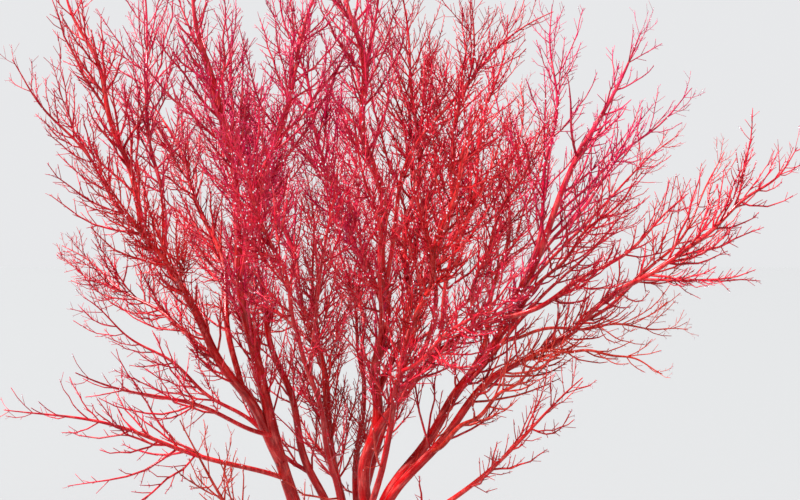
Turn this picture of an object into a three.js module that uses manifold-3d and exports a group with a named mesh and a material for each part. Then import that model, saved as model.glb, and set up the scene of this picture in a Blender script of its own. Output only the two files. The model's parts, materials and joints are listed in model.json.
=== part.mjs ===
// A coral-bark Japanese maple in winter: red stems fan out of one short trunk and end in sprays of bare
// twigs. Millimetres, +Z up; the origin is the middle of the flat cut at ground level.
// Each limb is a parabola through its foot, its bend and its tip. Up to where it stands clear of its
// neighbours it is fused to the limb that it grows from, and its own mesh starts there.
import * as THREE from "three";
import { mergeVertices } from "three/addons/utils/BufferGeometryUtils.js";
import Module from "manifold-3d";

// The trunk, from the ground to its fork
const TRUNK_BEND = [6, 6, 230];
const TRUNK_TIP = [22, 0, 450];
const TRUNK_RADIUS = 112;
const FORK_RADIUS = 62;
const ROOT_FLARE = 0.62;
const ROOT_FLARE_HEIGHT = 75;
const ROOT_RIDGES = 5;
const ROOT_RIDGE_DEPTH = 0.17;
const TRUNK_RIDGE_SHARE = 0.25;

// Boughs: name, limb it grows from, share of the way along that, bend, tip, radius at the foot and the tip
const BOUGHS = [
  ["left_stem", "trunk", 0.4, [-540, -50, 1515], [-660, -150, 2600], 50, 26],
  ["outer_left_bough", "left_stem", 0.42, [-815, -190, 1890], [-1220, -270, 2635], 33, 20],
  ["inner_left_stem", "trunk", 0.85, [-325, 140, 1395], [-575, 260, 2300], 31, 18],
  ["centre_stem", "trunk", 1, [180, 30, 1555], [245, 40, 2370], 47, 27],
  ["centre_right_bough", "centre_stem", 0.45, [510, -170, 1790], [960, -280, 2100], 28, 16],
  ["right_stem", "trunk", 0.92, [670, 10, 1525], [1205, -20, 2380], 39, 22],
  ["long_right_bough", "trunk", 0.8, [860, -190, 1640], [1680, -250, 2250], 34, 17],
  ["front_left_bough", "trunk", 0.75, [-95, -450, 1445], [-215, -880, 2055], 20, 13],
  ["front_right_bough", "trunk", 0.9, [310, -520, 1610], [440, -930, 2155], 24, 15],
  ["back_left_bough", "trunk", 0.9, [-150, 560, 1370], [-390, 1000, 2160], 30, 17],
  ["back_right_bough", "trunk", 0.95, [300, 540, 1425], [505, 980, 2160], 30, 17],
  ["back_bough", "trunk", 0.7, [75, 560, 1195], [70, 1050, 1820], 26, 15],
];

// Sprays of twigs: the same of their stem, but for the tip's radius, and then the share of it that is bare
const SPRAYS = [
  ["left_top", "left_stem", 1, [-775, -300, 3405], [-950, -480, 4415], 26, 0.08],
  ["left_inner_top", "left_stem", 0.9, [-375, -480, 3195], [20, -650, 4420], 17, 0.1],
  ["left_side_lower", "left_stem", 0.49, [-870, -650, 1610], [-1345, -1250, 1890], 15, 0.3],
  ["lowest_left", "left_stem", 0.37, [-975, -380, 1335], [-1930, -720, 1610], 17, 0.35],
  ["outer_left_top", "outer_left_bough", 1, [-1445, -240, 3350], [-1815, -150, 4375], 20, 0.05],
  ["outer_left_spire", "outer_left_bough", 0.88, [-1335, 160, 3565], [-1470, 420, 4625], 14, 0.15],
  ["far_left", "outer_left_bough", 0.8, [-1535, -430, 3070], [-1945, -560, 3665], 14, 0.15],
  ["left_back", "outer_left_bough", 0.32, [-1020, 560, 2710], [-1630, 1150, 3875], 20, 0.25],
  ["left_side_upper", "outer_left_bough", 0.47, [-1360, 100, 2205], [-1990, 450, 2565], 13, 0.25],
  ["outer_left_front", "outer_left_bough", 0.64, [-1080, -760, 2590], [-1270, -1150, 2990], 14, 0.2],
  ["inner_left_top", "inner_left_stem", 1, [-715, 480, 3025], [-945, 820, 4330], 18, 0.05],
  ["inner_left_back", "inner_left_stem", 0.88, [-870, 1000, 2950], [-1220, 1600, 3750], 13, 0.15],
  ["left_side_middle", "inner_left_stem", 0.36, [-885, 110, 1595], [-1680, -60, 2230], 15, 0.35],
  ["slender", "trunk", 0.9, [-175, 330, 1510], [-370, 1000, 3210], 16, 0.4],
  ["left_skirt", "trunk", 0.65, [-660, -700, 1070], [-820, -1150, 1625], 15, 0.45],
  ["low_right", "trunk", 0.7, [780, -480, 1160], [1370, -950, 1825], 20, 0.5],
  ["crown_top", "centre_stem", 1, [135, 40, 3255], [-50, 60, 4885], 27, 0.05],
  ["crown_left", "centre_stem", 0.88, [-100, -150, 3100], [-390, -220, 4300], 15, 0.15],
  ["crown_right", "centre_stem", 0.93, [555, -330, 3335], [1260, -600, 3940], 15, 0.2],
  ["centre_back", "centre_stem", 0.58, [420, 480, 2745], [345, 760, 4605], 22, 0.3],
  ["centre_front", "centre_stem", 0.75, [195, -740, 2680], [105, -1250, 3270], 15, 0.25],
  ["centre_right", "centre_right_bough", 1, [1575, -520, 2445], [2030, -700, 2865], 16, 0.05],
  ["centre_right_high", "centre_right_bough", 0.86, [925, -830, 2735], [1110, -1350, 3180], 13, 0.2],
  ["upright_left", "centre_right_bough", 0.45, [615, -600, 2830], [755, -950, 3950], 17, 0.3],
  ["upright_right", "centre_right_bough", 0.62, [830, -420, 3020], [1025, -300, 3990], 15, 0.3],
  ["right_top", "right_stem", 1, [1580, -120, 3270], [1880, -200, 3920], 22, 0.05],
  ["right_spire", "right_stem", 0.93, [1360, 170, 3270], [1400, 350, 4215], 14, 0.12],
  ["right_upper", "right_stem", 0.85, [1750, 330, 3025], [2430, 600, 3685], 14, 0.25],
  ["right_middle", "right_stem", 0.75, [1810, 760, 2900], [2500, 1200, 3420], 13, 0.3],
  ["right_front", "right_stem", 0.8, [1510, -500, 2685], [1735, -850, 2985], 13, 0.3],
  ["right_back", "right_stem", 0.64, [1085, 780, 2500], [1325, 1550, 3865], 19, 0.3],
  ["right_level", "right_stem", 0.79, [1660, 350, 2015], [2430, 700, 1960], 12, 0.25],
  ["far_right", "long_right_bough", 1, [2310, -250, 2685], [2880, -150, 3185], 17, 0.08],
  ["far_right_upper", "long_right_bough", 0.9, [2225, 170, 2655], [2575, 340, 3205], 12, 0.25],
  ["right_droop", "long_right_bough", 0.73, [1470, -480, 1920], [1890, -650, 1810], 11, 0.25],
  ["right_skirt", "long_right_bough", 0.41, [855, -720, 1640], [1220, -1250, 2010], 15, 0.3],
  ["front_left", "front_left_bough", 1, [-325, -1330, 2615], [-450, -1700, 3040], 13, 0.05],
  ["front_middle", "front_left_bough", 0.85, [-40, -1400, 2510], [70, -1850, 2930], 11, 0.1],
  ["front_right", "front_right_bough", 1, [600, -1420, 2740], [735, -1800, 3215], 15, 0.05],
  ["front_right_low", "front_right_bough", 0.8, [680, -1300, 2145], [930, -1750, 2450], 12, 0.2],
  ["back_left", "back_left_bough", 1, [-680, 1500, 3015], [-995, 1950, 3845], 17, 0.05],
  ["back_left_low", "back_left_bough", 0.8, [-855, 1380, 2220], [-1440, 1850, 2785], 13, 0.2],
  ["back_right", "back_right_bough", 1, [760, 1520, 2975], [1000, 2100, 3870], 17, 0.05],
  ["back_right_low", "back_right_bough", 0.8, [955, 1330, 2220], [1560, 1800, 2660], 13, 0.2],
  ["back_low", "back_bough", 1, [5, 1700, 2410], [-80, 2250, 3015], 15, 0.05],
  ["back_high", "back_bough", 0.85, [-65, 1200, 2575], [-205, 1550, 3740], 13, 0.1],
  ["right_inner", "right_stem", 0.6, [1370, -120, 2330], [1830, -90, 2830], 14, 0.3],
];

// Shoots on a spray's stem. Buds stand in pairs, and the solids keep the shoots of one pair in every few.
// A shoot's length grows with what is left of the stem, and it rises by a share of its own length.
const NODE_SPACING = 60;
const KEPT_EVERY = 3;
const SHOOT_SHARE = 0.38;
const SHOOT_LEAST = 130;
const SHOOT_MOST = 780;
const LENGTH_VARIES = 0.3;
const SHOOT_ANGLE = 0.5;
const ANGLE_VARIES = 0.25;
const TURN_VARIES = 0.9;
const SHOOT_LIFT = 0.2;
const MISSING_SHARE = 0.06;
const SHOOT_RADIUS = 7;
const SHOOT_TO_STEM = 0.42;
const STEM_TIP_RADIUS = 3;

// How finely the solids are faceted
const TRUNK_SIDES = 20;
const TRUNK_RINGS = 6;
const THICK_SIDES = 7;
const THIN_SIDES = 6;
const STEM_SIDES = 4;
const SHOOT_SIDES = 3;
const BOUGH_STEP = 380;
const STEM_STEP = 480;

// Gaps: where two meshes meet, and least distances between a limb or twig and its neighbours
const JOINT_GAP = 0.3;
const START_CLEARANCE = 3;
const TWIG_CLEARANCE = 3;
const SAMPLE_STEP = 14;
const FORK_SAMPLE_STEP = 8;
const START_STEP = 4;

// A limb spreads by this share at its foot, unless it goes on from the end of its bough
const COLLAR = 0.3;
const COLLAR_REACH = 1.5;

// Finishes: a bough that is thicker than this at its foot has the old bark
const THICK = 30;
const BARK = { color: 0xb01c22, roughness: 0.5, metalness: 0 };
const YOUNG_BARK = { color: 0xc8222e, roughness: 0.45, metalness: 0 };
const TWIG_BARK = { color: 0xd42a44, roughness: 0.45, metalness: 0 };

const UP = new THREE.Vector3(0, 0, 1);
const wasm = await Module();
wasm.setup();

// A number from 0 to 1 that depends only on the seed and on which draw it is.
function draw(seed, turn) {
  let mixed = Math.imul(seed ^ Math.imul(turn + 1, 0x9e3779b1), 0x85ebca6b);
  mixed = Math.imul(mixed ^ (mixed >>> 13), 0xc2b2ae35);
  return ((mixed ^ (mixed >>> 16)) >>> 0) / 2 ** 32;
}

// A parabola through a foot, a bend and a tip, with a radius at every share of its length.
class Limb extends THREE.Curve {
  constructor(foot, bend, tip, footRadius, tipRadius, seed) {
    super();
    Object.assign(this, { foot, bend, tip, footRadius, tipRadius, seed, collar: 0 });
    const toBend = foot.distanceTo(bend);
    const toTip = bend.distanceTo(tip);
    this.bendShare = toBend / (toBend + toTip);
    this.size = toBend + toTip;
    this.across = bend.clone().sub(foot).cross(tip.clone().sub(bend));
    if (this.across.length() < 1) this.across.subVectors(tip, foot).cross(UP);
    this.across.normalize();
  }

  getPoint(share, target = new THREE.Vector3()) {
    const { foot, bend, tip, bendShare } = this;
    return target
      .set(0, 0, 0)
      .addScaledVector(foot, ((share - bendShare) * (share - 1)) / bendShare)
      .addScaledVector(bend, (share * (share - 1)) / (bendShare * (bendShare - 1)))
      .addScaledVector(tip, (share * (share - bendShare)) / (1 - bendShare));
  }

  radiusAt(share) {
    const spread = this.collar * Math.exp((-share * this.size) / (COLLAR_REACH * this.footRadius));
    return THREE.MathUtils.lerp(this.footRadius, this.tipRadius, share) * (1 + spread);
  }

  samples(step = SAMPLE_STEP) {
    const count = Math.ceil(this.size / step);
    const sample = (_, i) => ({ place: this.getPoint(i / count), radius: this.radiusAt(i / count) });
    return Array.from({ length: count + 1 }, sample);
  }
}

// A trunk that tapers slowly at first and faster towards its fork.
class Trunk extends Limb {
  radiusAt(share) {
    return THREE.MathUtils.lerp(TRUNK_RADIUS, FORK_RADIUS, share ** 3);
  }
}

function plantLimbs() {
  const at = (numbers) => new THREE.Vector3(...numbers);
  const trunk = new Trunk(at([0, 0, 0]), at(TRUNK_BEND), at(TRUNK_TIP), TRUNK_RADIUS, FORK_RADIUS, 0);
  const limbs = new Map([["trunk", trunk]]);
  const add = ([name, parentName, share, bend, tip, footRadius], tipRadius, bare) => {
    const foot = limbs.get(parentName).getPoint(share);
    const limb = new Limb(foot, at(bend), at(tip), footRadius, tipRadius, limbs.size);
    const goesOn = share === 1 && parentName !== "trunk";
    limbs.set(name, Object.assign(limb, { name, parentName, bare, collar: goesOn ? 0 : COLLAR }));
  };
  for (const row of BOUGHS) add(row, row[6], 1);
  for (const row of SPRAYS) add(row, STEM_TIP_RADIUS, row[6]);
  return limbs;
}

// The share of a limb's length from which it stands clear of its parent and of every limb beside it.
function clearShare(limb, limbs) {
  const isBeside = (other) => other !== limb && other.parentName === limb.parentName;
  const near = [limbs.get(limb.parentName), ...[...limbs.values()].filter(isBeside)];
  const others = near.flatMap((other) => other.samples(FORK_SAMPLE_STEP));
  const step = START_STEP / limb.size;
  const isFree = (share) => {
    const place = limb.getPoint(share);
    const least = limb.radiusAt(share) + START_CLEARANCE;
    return others.every((other) => other.place.distanceTo(place) > other.radius + least);
  };
  let share = 1;
  while (share > step && isFree(share - step)) share -= step;
  return share;
}

function solidOf(geometry) {
  const bare = geometry.clone();
  bare.deleteAttribute("normal");
  bare.deleteAttribute("uv");
  const merged = mergeVertices(bare, 1e-4);
  const vertProperties = new Float32Array(merged.getAttribute("position").array);
  const triVerts = new Uint32Array(merged.index.array);
  return new wasm.Manifold(new wasm.Mesh({ numProp: 3, vertProperties, triVerts }));
}

// Moves each vertex of a geometry to the place that is worked out from its old one.
function reshape(geometry, move) {
  const places = geometry.getAttribute("position");
  const place = new THREE.Vector3();
  for (let i = 0; i < places.count; i++) {
    const moved = move(place.fromBufferAttribute(places, i));
    places.setXYZ(i, moved.x, moved.y, moved.z);
  }
  return geometry;
}

// A tube along a limb, from one share of its length to another; a pointed one ends in a cone.
function tube(limb, from, to, sides, steps, pointed = false) {
  const blank = new THREE.CylinderGeometry(pointed ? 0 : 1, 1, 1, sides, steps);
  const bent = reshape(blank, ({ x, y, z }) => {
    const share = THREE.MathUtils.lerp(from, to, y + 0.5);
    const radius = Math.hypot(x, z) < 1e-6 ? 0 : limb.radiusAt(share);
    const angle = Math.atan2(z, x);
    const upward = limb.across.clone().cross(limb.getTangent(share)).normalize();
    const place = limb.getPoint(share).addScaledVector(limb.across, radius * Math.cos(angle));
    return place.addScaledVector(upward, radius * Math.sin(angle));
  });
  return solidOf(bent);
}

// The trunk stands on level rings, so that it is cut flat at the ground, and spreads into ridges there.
function trunkSolid(trunk) {
  const blank = new THREE.CylinderGeometry(1, 1, 1, TRUNK_SIDES, TRUNK_RINGS).rotateX(Math.PI / 2);
  const shaped = reshape(blank, ({ x, y, z }) => {
    const share = (z + 0.5) ** 1.5;
    const centre = trunk.getPoint(share);
    const angle = Math.atan2(y, x);
    const flare = Math.exp(-centre.z / ROOT_FLARE_HEIGHT);
    const ridge = 1 + ROOT_RIDGE_DEPTH * Math.cos(ROOT_RIDGES * angle) * (TRUNK_RIDGE_SHARE + flare);
    const radius = Math.hypot(x, y) < 1e-6 ? 0 : trunk.radiusAt(share) * (1 + ROOT_FLARE * flare) * ridge;
    return centre.add(new THREE.Vector3(radius * Math.cos(angle), radius * Math.sin(angle), 0));
  });
  return solidOf(shaped);
}

// The straight shoot on one side of a bud node. Each node stands a quarter turn from the last.
function shootAt(stem, node, side, share) {
  const seed = Math.floor(draw(stem.seed, 100 + 2 * node + side) * 2 ** 31);
  const most = Math.min(SHOOT_MOST, SHOOT_LEAST + SHOOT_SHARE * stem.size * (1 - share));
  const length = most * (1 - LENGTH_VARIES * draw(seed, 1));
  const turn = (node * Math.PI) / 2 + side * Math.PI + TURN_VARIES * (draw(seed, 2) - 0.5);
  const angle = SHOOT_ANGLE + ANGLE_VARIES * draw(seed, 3);
  const along = stem.getTangent(share);
  const outward = stem.across.clone().applyAxisAngle(along, turn);
  const heading = along.clone().multiplyScalar(Math.cos(angle)).addScaledVector(outward, Math.sin(angle));
  const foot = stem.getPoint(share);
  const tip = foot.clone().addScaledVector(heading, length).addScaledVector(UP, SHOOT_LIFT * length);
  const radius = Math.min(SHOOT_RADIUS, SHOOT_TO_STEM * stem.radiusAt(share));
  return new Limb(foot, foot.clone().lerp(tip, 0.5), tip, radius, 0, seed);
}

function shootsOf(stem) {
  const nodes = Math.floor((stem.size * (1 - stem.bare)) / NODE_SPACING);
  const shoots = [];
  for (let node = 1; node < nodes; node += KEPT_EVERY) {
    const share = stem.bare + ((1 - stem.bare) * (node + 0.5)) / nodes;
    shoots.push(shootAt(stem, node, 0, share), shootAt(stem, node, 1, share));
  }
  return shoots.filter((shoot) => draw(shoot.seed, 0) > MISSING_SHARE);
}

// A spray's space is all that lies nearer its own stem than any other spray's. A twig that would leave it,
// or touch a bough, is left out.
function fits(shoot, stem, stems, boughs) {
  const distance = (limb, place) => Math.min(...limb.places.map((sample) => sample.place.distanceTo(place)));
  return shoot.samples().every(({ place, radius }) => {
    const least = distance(stem, place) + 2 * (radius + TWIG_CLEARANCE);
    if (stems.some((other) => other !== stem && distance(other, place) < least)) return false;
    const touches = (sample) => sample.place.distanceTo(place) < sample.radius + radius + TWIG_CLEARANCE;
    return !boughs.some((bough) => bough.places.some(touches));
  });
}

function sprayTwigs(stem, stems, boughs) {
  const shoots = shootsOf(stem).filter((shoot) => fits(shoot, stem, stems, boughs));
  return shoots.map((shoot) => tube(shoot, 0, 1, SHOOT_SIDES, 1, true));
}

// The union of the solids, without any scrap that came loose.
function fused(solids) {
  const bodies = wasm.Manifold.union(solids).decompose();
  return bodies.reduce((largest, body) => (body.volume() > largest.volume() ? body : largest));
}

function meshOf(name, solid, foot, finish) {
  const made = solid.getMesh();
  const geometry = new THREE.BufferGeometry();
  geometry.setAttribute("position", new THREE.BufferAttribute(new Float32Array(made.vertProperties), 3));
  geometry.setIndex(new THREE.BufferAttribute(new Uint32Array(made.triVerts), 1));
  geometry.translate(-foot.x, -foot.y, -foot.z);
  geometry.computeVertexNormals();
  const mesh = new THREE.Mesh(geometry, new THREE.MeshStandardMaterial(finish));
  mesh.name = name;
  mesh.position.copy(foot);
  return mesh;
}

// The fused first stretches of the limbs that grow from a limb of this name.
function collarsOn(name, limbs) {
  const growing = limbs.filter((limb) => limb.parentName === name);
  return growing.map((limb) => tube(limb, 0, limb.start, sidesOf(limb), limb.bare < 1 ? 1 : 2));
}

function sidesOf(limb) {
  if (limb.bare < 1) return STEM_SIDES;
  return limb.footRadius > THICK ? THICK_SIDES : THIN_SIDES;
}

// A limb's own tube, from where it stands clear to its tip.
function body(limb, stepLength, pointed) {
  const from = limb.start + JOINT_GAP / limb.size;
  return tube(limb, from, 1, sidesOf(limb), Math.ceil(limb.size / stepLength), pointed);
}

function growTree() {
  const limbs = plantLimbs();
  const trunk = limbs.get("trunk");
  const grown = [...limbs.values()].filter((limb) => limb !== trunk);
  for (const limb of grown) limb.start = clearShare(limb, limbs);
  for (const limb of limbs.values()) limb.places = limb.samples();
  const stems = grown.filter((limb) => limb.bare < 1);
  const boughs = grown.filter((limb) => limb.bare === 1);

  const tree = new THREE.Group();
  const trunkWithForks = fused([trunkSolid(trunk), ...collarsOn("trunk", grown)]);
  tree.add(meshOf("trunk", trunkWithForks, trunk.foot, BARK));
  for (const bough of boughs) {
    const solid = fused([body(bough, BOUGH_STEP, false), ...collarsOn(bough.name, grown)]);
    tree.add(meshOf(bough.name, solid, bough.foot, bough.footRadius > THICK ? BARK : YOUNG_BARK));
  }
  for (const stem of stems) {
    const solid = fused([body(stem, STEM_STEP, true), ...sprayTwigs(stem, stems, [trunk, ...boughs])]);
    tree.add(meshOf(stem.name + "_twigs", solid, stem.foot, TWIG_BARK));
  }
  return tree;
}

export default growTree();
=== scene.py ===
"""A coral-bark Japanese maple in winter, wet with rain. Metres, +Z up, in the frame of the solids.

The limbs follow the same table and the same rule as the solids. The rule is carried on to finer twigs, and
buds and raindrops stand on those. Twigs are joined into a few meshes, one for each tint that they have.
"""

import json
import math
from collections import namedtuple

import bmesh
import bpy
import numpy as np
from mathutils import Matrix, Vector, noise

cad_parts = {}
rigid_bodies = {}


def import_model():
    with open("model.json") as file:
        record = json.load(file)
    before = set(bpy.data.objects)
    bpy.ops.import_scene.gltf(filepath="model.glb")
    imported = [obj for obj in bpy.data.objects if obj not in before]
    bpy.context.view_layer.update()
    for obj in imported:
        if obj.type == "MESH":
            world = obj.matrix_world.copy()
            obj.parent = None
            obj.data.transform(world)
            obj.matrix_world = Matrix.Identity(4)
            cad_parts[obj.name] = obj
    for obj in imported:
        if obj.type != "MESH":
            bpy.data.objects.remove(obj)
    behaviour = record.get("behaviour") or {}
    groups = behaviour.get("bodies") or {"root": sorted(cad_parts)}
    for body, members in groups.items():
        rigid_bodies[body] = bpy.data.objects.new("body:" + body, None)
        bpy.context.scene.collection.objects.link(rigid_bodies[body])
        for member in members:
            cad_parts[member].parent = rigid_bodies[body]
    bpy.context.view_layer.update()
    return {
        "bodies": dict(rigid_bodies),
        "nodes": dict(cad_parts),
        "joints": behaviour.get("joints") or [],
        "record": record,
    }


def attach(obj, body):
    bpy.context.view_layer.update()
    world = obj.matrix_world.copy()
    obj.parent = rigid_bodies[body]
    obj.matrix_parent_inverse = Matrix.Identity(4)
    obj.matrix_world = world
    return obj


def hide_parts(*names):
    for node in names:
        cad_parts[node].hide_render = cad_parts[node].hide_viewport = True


MM = 0.001
UP = np.array([0.0, 0.0, 1.0])

# The trunk, from the ground to its fork, and the ridges of its root flare
TRUNK = ([0, 0, 0], [6, 6, 230], [22, 0, 450], 112, 62)
ROOT_FLARE = 0.62
ROOT_FLARE_HEIGHT = 0.075
ROOT_RIDGES = 5
ROOT_RIDGE_DEPTH = 0.17
TRUNK_RIDGE_SHARE = 0.25

# Boughs, in millimetres: name, limb it grows from, share of the way along that, bend, tip, radius at each end
BOUGHS = [
    ("left_stem", "trunk", 0.4, [-540, -50, 1515], [-660, -150, 2600], 50, 26),
    ("outer_left_bough", "left_stem", 0.42, [-815, -190, 1890], [-1220, -270, 2635], 33, 20),
    ("inner_left_stem", "trunk", 0.85, [-325, 140, 1395], [-575, 260, 2300], 31, 18),
    ("centre_stem", "trunk", 1, [180, 30, 1555], [245, 40, 2370], 47, 27),
    ("centre_right_bough", "centre_stem", 0.45, [510, -170, 1790], [960, -280, 2100], 28, 16),
    ("right_stem", "trunk", 0.92, [670, 10, 1525], [1205, -20, 2380], 39, 22),
    ("long_right_bough", "trunk", 0.8, [860, -190, 1640], [1680, -250, 2250], 34, 17),
    ("front_left_bough", "trunk", 0.75, [-95, -450, 1445], [-215, -880, 2055], 20, 13),
    ("front_right_bough", "trunk", 0.9, [310, -520, 1610], [440, -930, 2155], 24, 15),
    ("back_left_bough", "trunk", 0.9, [-150, 560, 1370], [-390, 1000, 2160], 30, 17),
    ("back_right_bough", "trunk", 0.95, [300, 540, 1425], [505, 980, 2160], 30, 17),
    ("back_bough", "trunk", 0.7, [75, 560, 1195], [70, 1050, 1820], 26, 15),
]

# Sprays of twigs: the same of their stem, but for the tip's radius, and then the share of it that is bare. A
# last share, where the crown is clearer, is at least missing of the shoots between the nodes in the solids.
SPRAYS = [
    ("left_top", "left_stem", 1, [-775, -300, 3405], [-950, -480, 4415], 26, 0.08),
    ("left_inner_top", "left_stem", 0.9, [-375, -480, 3195], [20, -650, 4420], 17, 0.1),
    ("left_side_lower", "left_stem", 0.49, [-870, -650, 1610], [-1345, -1250, 1890], 15, 0.3, 0.75),
    ("lowest_left", "left_stem", 0.37, [-975, -380, 1335], [-1930, -720, 1610], 17, 0.35, 0.75),
    ("outer_left_top", "outer_left_bough", 1, [-1445, -240, 3350], [-1815, -150, 4375], 20, 0.05, 0.3),
    ("outer_left_spire", "outer_left_bough", 0.88, [-1335, 160, 3565], [-1470, 420, 4625], 14, 0.15, 0.3),
    ("far_left", "outer_left_bough", 0.8, [-1535, -430, 3070], [-1945, -560, 3665], 14, 0.15, 0.3),
    ("left_back", "outer_left_bough", 0.32, [-1020, 560, 2710], [-1630, 1150, 3875], 20, 0.25),
    ("left_side_upper", "outer_left_bough", 0.47, [-1360, 100, 2205], [-1990, 450, 2565], 13, 0.25),
    ("outer_left_front", "outer_left_bough", 0.64, [-1080, -760, 2590], [-1270, -1150, 2990], 14, 0.2),
    ("inner_left_top", "inner_left_stem", 1, [-715, 480, 3025], [-945, 820, 4330], 18, 0.05),
    ("inner_left_back", "inner_left_stem", 0.88, [-870, 1000, 2950], [-1220, 1600, 3750], 13, 0.15),
    ("left_side_middle", "inner_left_stem", 0.36, [-885, 110, 1595], [-1680, -60, 2230], 15, 0.35, 0.4),
    ("slender", "trunk", 0.9, [-175, 330, 1510], [-370, 1000, 3210], 16, 0.4),
    ("left_skirt", "trunk", 0.65, [-660, -700, 1070], [-820, -1150, 1625], 15, 0.45),
    ("low_right", "trunk", 0.7, [780, -480, 1160], [1370, -950, 1825], 20, 0.5),
    ("crown_top", "centre_stem", 1, [135, 40, 3255], [-50, 60, 4885], 27, 0.05),
    ("crown_left", "centre_stem", 0.88, [-100, -150, 3100], [-390, -220, 4300], 15, 0.15),
    ("crown_right", "centre_stem", 0.93, [555, -330, 3335], [1260, -600, 3940], 15, 0.2, 0.5),
    ("centre_back", "centre_stem", 0.58, [420, 480, 2745], [345, 760, 4605], 22, 0.3),
    ("centre_front", "centre_stem", 0.75, [195, -740, 2680], [105, -1250, 3270], 15, 0.25),
    ("centre_right", "centre_right_bough", 1, [1575, -520, 2445], [2030, -700, 2865], 16, 0.05, 0.4),
    ("centre_right_high", "centre_right_bough", 0.86, [925, -830, 2735], [1110, -1350, 3180], 13, 0.2),
    ("upright_left", "centre_right_bough", 0.45, [615, -600, 2830], [755, -950, 3950], 17, 0.3),
    ("upright_right", "centre_right_bough", 0.62, [830, -420, 3020], [1025, -300, 3990], 15, 0.3),
    ("right_top", "right_stem", 1, [1580, -120, 3270], [1880, -200, 3920], 22, 0.05, 0.62),
    ("right_spire", "right_stem", 0.93, [1360, 170, 3270], [1400, 350, 4215], 14, 0.12, 0.4),
    ("right_upper", "right_stem", 0.85, [1750, 330, 3025], [2430, 600, 3685], 14, 0.25, 0.65),
    ("right_middle", "right_stem", 0.75, [1810, 760, 2900], [2500, 1200, 3420], 13, 0.3, 0.75),
    ("right_front", "right_stem", 0.8, [1510, -500, 2685], [1735, -850, 2985], 13, 0.3, 0.5),
    ("right_back", "right_stem", 0.64, [1085, 780, 2500], [1325, 1550, 3865], 19, 0.3, 0.45),
    ("right_level", "right_stem", 0.79, [1660, 350, 2015], [2430, 700, 1960], 12, 0.25, 0.5),
    ("far_right", "long_right_bough", 1, [2310, -250, 2685], [2880, -150, 3185], 17, 0.08, 0.5),
    ("far_right_upper", "long_right_bough", 0.9, [2225, 170, 2655], [2575, 340, 3205], 12, 0.25, 0.5),
    ("right_droop", "long_right_bough", 0.73, [1470, -480, 1920], [1890, -650, 1810], 11, 0.25),
    ("right_skirt", "long_right_bough", 0.41, [855, -720, 1640], [1220, -1250, 2010], 15, 0.3),
    ("front_left", "front_left_bough", 1, [-325, -1330, 2615], [-450, -1700, 3040], 13, 0.05),
    ("front_middle", "front_left_bough", 0.85, [-40, -1400, 2510], [70, -1850, 2930], 11, 0.1),
    ("front_right", "front_right_bough", 1, [600, -1420, 2740], [735, -1800, 3215], 15, 0.05),
    ("front_right_low", "front_right_bough", 0.8, [680, -1300, 2145], [930, -1750, 2450], 12, 0.2),
    ("back_left", "back_left_bough", 1, [-680, 1500, 3015], [-995, 1950, 3845], 17, 0.05),
    ("back_left_low", "back_left_bough", 0.8, [-855, 1380, 2220], [-1440, 1850, 2785], 13, 0.2),
    ("back_right", "back_right_bough", 1, [760, 1520, 2975], [1000, 2100, 3870], 17, 0.05, 0.4),
    ("back_right_low", "back_right_bough", 0.8, [955, 1330, 2220], [1560, 1800, 2660], 13, 0.2, 0.4),
    ("back_low", "back_bough", 1, [5, 1700, 2410], [-80, 2250, 3015], 15, 0.05),
    ("back_high", "back_bough", 0.85, [-65, 1200, 2575], [-205, 1550, 3740], 13, 0.1),
    ("right_inner", "right_stem", 0.6, [1370, -120, 2330], [1830, -90, 2830], 14, 0.3, 0.6),
]

# The source's rule for the shoots on a spray's stem, of which the solids keep one node in KEPT_EVERY
NODE_SPACING = 0.060
KEPT_EVERY = 3
TWIG_CLEARANCE = 0.003
STEM_TIP_RADIUS = 0.003

# A limb's foot widens by the share COLLAR, which fades within COLLAR_REACH times its radius. The trunk's skin
# has it up to where it is START_CLEARANCE from those beside it. Above the foot radius THICK its bark is old.
COLLAR = 0.3
COLLAR_REACH = 1.5
START_CLEARANCE = 0.003
THICK = 0.030

# A shoot without room is cut back to the first of these shares of its length that fits
CUTS = (0.75, 0.5, 0.3)

# Shoots are missing low in the tree: LOW_THINNED of them on sprays with a tip below LOW_TIP, and on boughs a
# share from SHADED at the first height to 0 at the second, but on three boughs at least that in THIN_BOUGHS.
LOW_TIP = 2.1
LOW_THINNED = 0.65
SHADE_HEIGHTS = (1.40, 2.00)
SHADED = 0.80
THIN_BOUGHS = {"front_left_bough": 0.85, "inner_left_stem": 0.5, "outer_left_bough": 0.3}

# Young growth at the top bears fewer: the share missing rises from 0 at the first height to TOP_THINNED at
# the second, and both heights rise by TOP_SLOPE to the right
TOP_HEIGHTS = (3.35, 4.2)
TOP_SLOPE = 0.2
TOP_THINNED = 0.6

# Of a shoot's twigs, these parts of the low or clear share and of the top's share are missing
LOW_TWIGS = 0.8
TOP_TWIGS = 0.6

# The share of a spray's bare stretch that stays bare in the scene, where thin shoots stand on it too
STILL_BARE = 0.4

# In a spray, the way along a limb to the power of FULLNESS gives its taper, so that it stays thick for longer
FULLNESS = 1.8

# How far a limb sways to the sides, as a share of its length
SWAY = 0.011

# A run of nodes may be poor, with this share of its shoots missing
POOR_RUN = 4
POOR_MISSING = 0.75

# The number of the first draw from a limb's seed for each use
SHOOT_DRAWS = 100
SIDE_SHOOT_DRAWS = 500
BUD_DRAWS = 900
POOR_DRAWS = 900
SWAY_DRAWS = (31, 41)
TINT_DRAW = 77

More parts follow.
